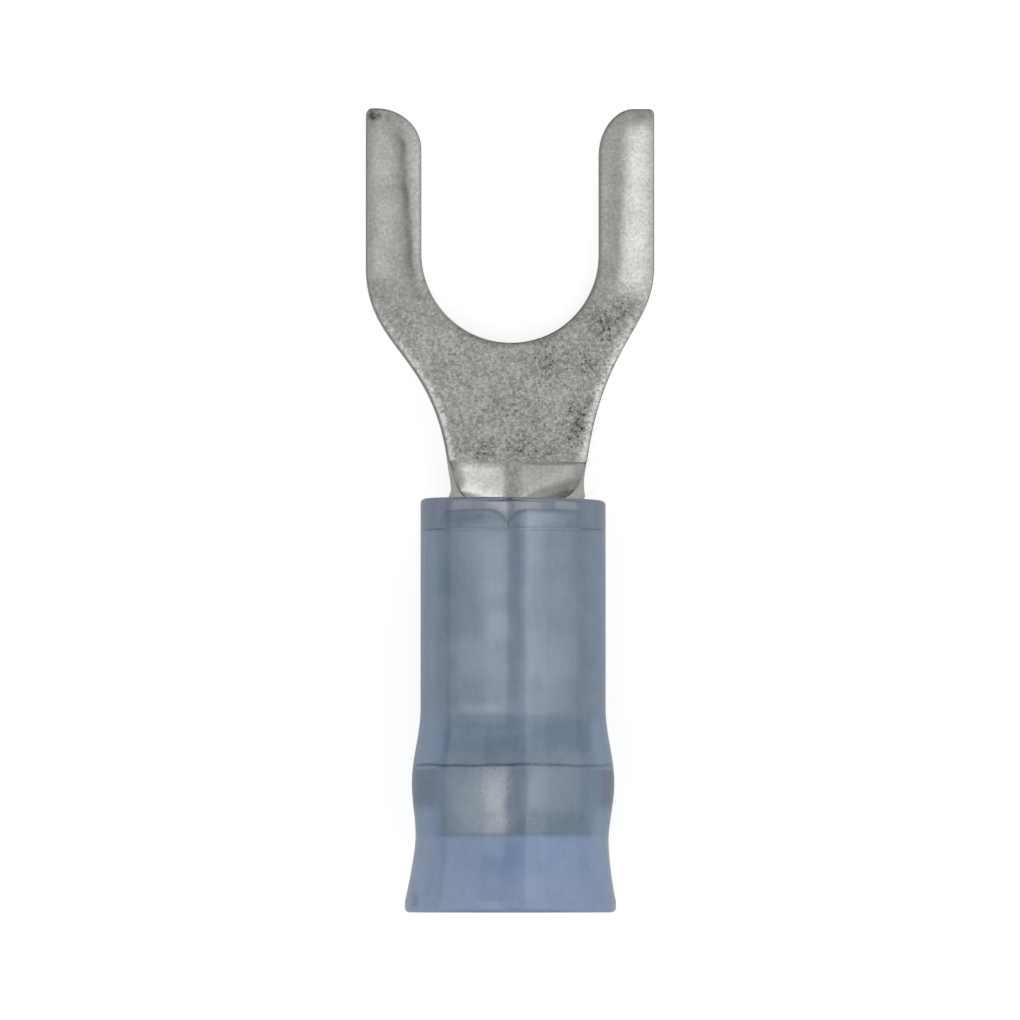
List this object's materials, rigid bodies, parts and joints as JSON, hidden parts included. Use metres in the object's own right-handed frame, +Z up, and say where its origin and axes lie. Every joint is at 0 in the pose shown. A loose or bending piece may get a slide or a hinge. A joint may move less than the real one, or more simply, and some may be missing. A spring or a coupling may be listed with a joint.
{
  "type": "fork tongue terminal",
  "caption": "Insulated crimp terminal with a fork tongue for a stud, a rolled wire barrel, a metal insulation grip sleeve and a translucent blue nylon sleeve.",
  "frame": {"origin": "centre of the stud in the fork's slot, on the underside of the tongue", "axes": "+Y along the tines to their tips, away from the wire; +Z up from the tongue's underside to the side of the barrel's seam; +X to the right, seen from above with the tips ahead"},
  "size_m": [0.008, 0.0225, 0.0058],
  "materials": {
    "tinned_copper": "matte",
    "tinned_sleeve": "satin",
    "blue_nylon": "satin"
  },
  "bodies": {
    "root": {"fork_terminal": "tinned_copper", "grip_sleeve": "tinned_sleeve", "insulator": "blue_nylon"}
  },
  "joints": []
}
